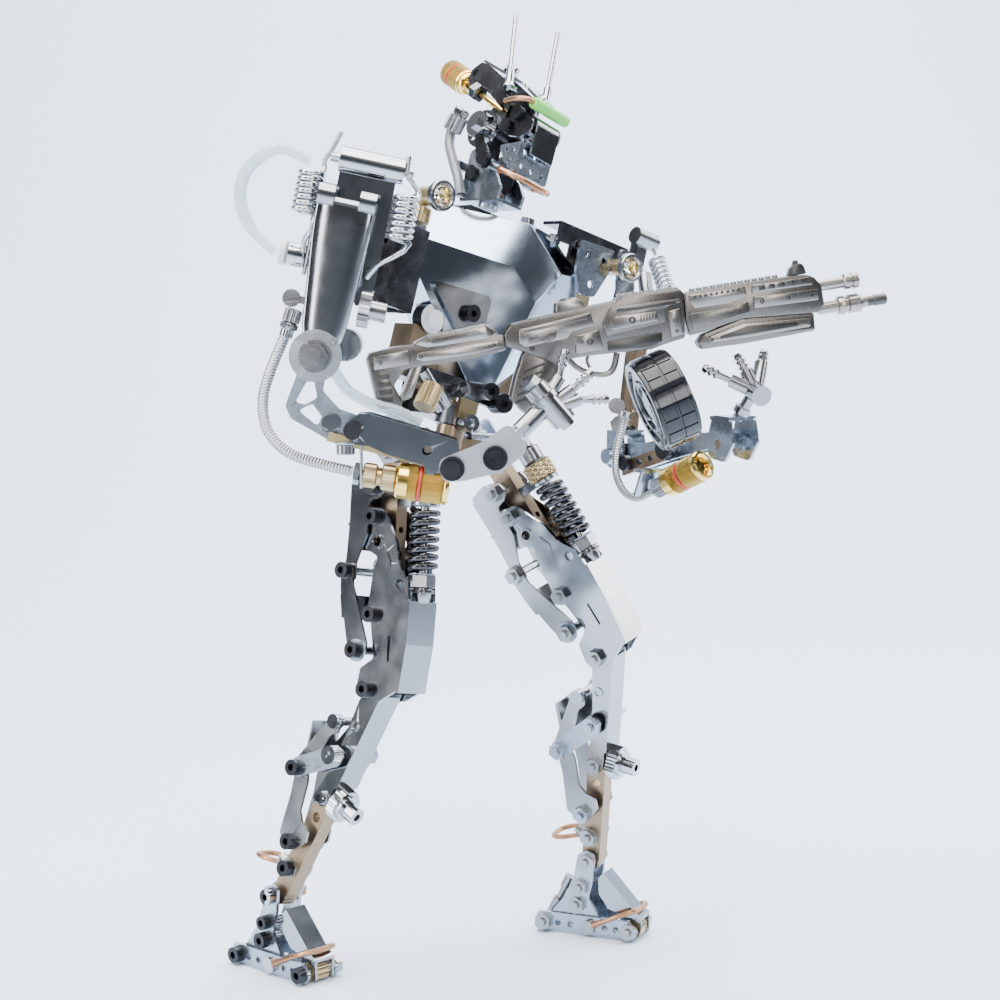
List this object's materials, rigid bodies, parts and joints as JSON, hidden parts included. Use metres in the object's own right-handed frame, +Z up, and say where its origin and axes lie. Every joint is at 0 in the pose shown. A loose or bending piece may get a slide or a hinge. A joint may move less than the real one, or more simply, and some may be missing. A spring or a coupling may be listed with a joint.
{
  "type": "humanoid robot kit",
  "caption": "Jointed metal humanoid figure built from small hardware: hinge arms, perforated strips, springs, knurled connectors and screws, holding a toy rifle with a drum magazine.",
  "frame": {"origin": "centre of the bounding box on the floor, in the plane of the soles", "axes": "+Z up; the figure faces -Y with both feet, its own left side is +X"},
  "size_m": [0.1832, 0.1591, 0.3282],
  "materials": {
    "nickel": "bright blue-grey nickel plate, polished",
    "dark_nickel": "dark nickel plated steel, satin",
    "chrome": "polished",
    "zinc": "white zinc plated steel",
    "bronze": "tarnished bronze plated strip",
    "brass": "satin brass",
    "gold": "gold plated, knurled",
    "copper": "aged copper wire",
    "black_screw": "black oxide",
    "gunmetal": "cast zinc alloy, antiqued",
    "gloss_black": "glossy moulded plastic",
    "green_vinyl": "green vinyl sleeve",
    "clear_tube": "clear vinyl tube",
    "steel_hose": "braided steel hose",
    "spring_steel": "spring wire",
    "crystal": "faceted glass"
  },
  "bodies": {
    "pelvis": {"pelvis_block": "bronze", "pelvis_frame": "zinc"},
    "torso": {"torso_frame": "dark_nickel", "chest_shell": "nickel", "chest_panel": "dark_nickel", "shoulder_channels": "dark_nickel", "shoulder_lamps": "brass", "torso_connectors": "brass", "torso_screws": "black_screw"},
    "neck": {"neck_bracket": "zinc", "neck_hose": "steel_hose"},
    "head": {"neck_wheel": "chrome", "head_plates": "dark_nickel", "head_top_plate": "chrome", "head_knob": "gold", "eye_block": "dark_nickel", "face_plate": "zinc", "jaw_loop": "copper", "visor_tube": "green_vinyl", "antenna_right": "chrome", "antenna_left": "chrome"},
    "upper_arm_right": {"shoulder_frame_right": "zinc", "shoulder_cover_right": "nickel", "shoulder_springs_right": "chrome", "elbow_washer_right": "zinc", "air_tube_right": "clear_tube"},
    "forearm_right": {"forearm_bracket_right": "zinc", "forearm_channel_right": "nickel", "forearm_knob_right": "gold", "forearm_hose_right": "steel_hose"},
    "hand_right": {"hand_right": "chrome", "rifle_body": "gunmetal", "rifle_stock": "gunmetal", "rifle_barrel": "gunmetal"},
    "drum": {"rifle_drum": "gloss_black"},
    "upper_arm_left": {"shoulder_frame_left": "zinc", "shoulder_springs_left": "chrome", "arm_bars_left": "brass"},
    "forearm_left": {"forearm_bracket_left": "zinc", "forearm_knob_left": "gold", "forearm_hose_left": "steel_hose"},
    "hand_left": {"hand_left": "chrome"},
    "thigh_right": {"thigh_shell_right": "nickel", "thigh_links_right": "dark_nickel", "thigh_spring_right": "spring_steel", "thigh_bar_right": "bronze"},
    "shin_right": {"shin_channel_right": "nickel", "shin_links_right": "zinc", "shin_bar_right": "bronze"},
    "foot_right": {"foot_frame_right": "zinc", "foot_cover_right": "nickel"},
    "thigh_left": {"thigh_shell_left": "nickel", "thigh_links_left": "dark_nickel", "thigh_spring_left": "spring_steel", "thigh_bar_left": "bronze"},
    "shin_left": {"shin_channel_left": "nickel", "shin_links_left": "zinc", "shin_bar_left": "bronze"},
    "foot_left": {"foot_frame_left": "zinc", "foot_cover_left": "nickel"}
  },
  "joints": [
    {"name": "waist_turn", "type": "hinge", "parent": "pelvis", "child": "torso", "pos_m": [-0.00631, 0.03307, 0.18466], "axis": [0.2913, -0.0255, 0.9563], "range_deg": [-12, 12]},
    {"name": "neck_turn", "type": "hinge", "parent": "torso", "child": "neck", "pos_m": [0.01711, 0.03906, 0.25925], "axis": [0.2913, -0.0255, 0.9563], "range_deg": [-20, 20]},
    {"name": "head_nod", "type": "hinge", "parent": "neck", "child": "head", "pos_m": [0.02584, 0.04331, 0.2865], "axis": [0.9367, 0, -0.3502], "range_deg": [-10, 6]},
    {"name": "shoulder_right", "type": "hinge", "parent": "torso", "child": "upper_arm_right", "pos_m": [-0.03536, 0.0316, 0.26143], "axis": [0.9527, -0.0833, -0.2924], "range_deg": [-8, 0]},
    {"name": "elbow_right", "type": "hinge", "parent": "upper_arm_right", "child": "forearm_right", "pos_m": [-0.0726, 0.0248, 0.2123], "axis": [0.7071, 0.7071, 0], "range_deg": [-6, 0]},
    {"name": "wrist_right", "type": "hinge", "parent": "forearm_right", "child": "hand_right", "pos_m": [-0.03265, -0.01515, 0.1803], "axis": [0.7071, 0.7071, 0], "range_deg": [-6, 0]},
    {"name": "drum_release", "type": "slide", "parent": "hand_right", "child": "drum", "axis": [0.1281, -0.0898, -0.9877], "range_m": [0, 0.008]},
    {"name": "shoulder_left", "type": "hinge", "parent": "torso", "child": "upper_arm_left", "pos_m": [0.07868, 0.02965, 0.24024], "axis": [0.9527, -0.0833, -0.2924], "range_deg": [0, 8]},
    {"name": "elbow_left", "type": "hinge", "parent": "upper_arm_left", "child": "forearm_left", "pos_m": [0.0577, 0.0094, 0.1733], "axis": [0.9903, -0.1392, 0], "range_deg": [0, 8]},
    {"name": "wrist_left", "type": "hinge", "parent": "forearm_left", "child": "hand_left", "pos_m": [0.0501, -0.04467, 0.1809], "axis": [0.9903, -0.1392, 0], "range_deg": [-6, 6]},
    {"name": "hip_right", "type": "hinge", "parent": "pelvis", "child": "thigh_right", "pos_m": [-0.03142, 0.03304, 0.17794], "axis": [0.981, 0.0861, -0.1737], "range_deg": [-8, 8]},
    {"name": "knee_right", "type": "hinge", "parent": "thigh_right", "child": "shin_right", "pos_m": [-0.04472, 0.02693, 0.09978], "axis": [0.981, 0.0861, -0.1737], "range_deg": [-10, 20]},
    {"name": "ankle_right", "type": "hinge", "parent": "shin_right", "child": "foot_right", "pos_m": [-0.0605, 0.0598, 0.027], "axis": [0.9997, 0.0262, 0], "range_deg": [-8, 8]},
    {"name": "hip_left", "type": "hinge", "parent": "pelvis", "child": "thigh_left", "pos_m": [0.01546, 0.03473, 0.17413], "axis": [0.9592, 0.2218, 0.1752], "range_deg": [-8, 8]},
    {"name": "knee_left", "type": "hinge", "parent": "thigh_left", "child": "shin_left", "pos_m": [0.03612, -0.0009, 0.1061], "axis": [0.9592, 0.2218, 0.1752], "range_deg": [-10, 20]},
    {"name": "ankle_left", "type": "hinge", "parent": "shin_left", "child": "foot_left", "pos_m": [0.0469, 0.015, 0.027], "axis": [0.9367, 0.3502, 0], "range_deg": [-8, 8]}
  ]
}
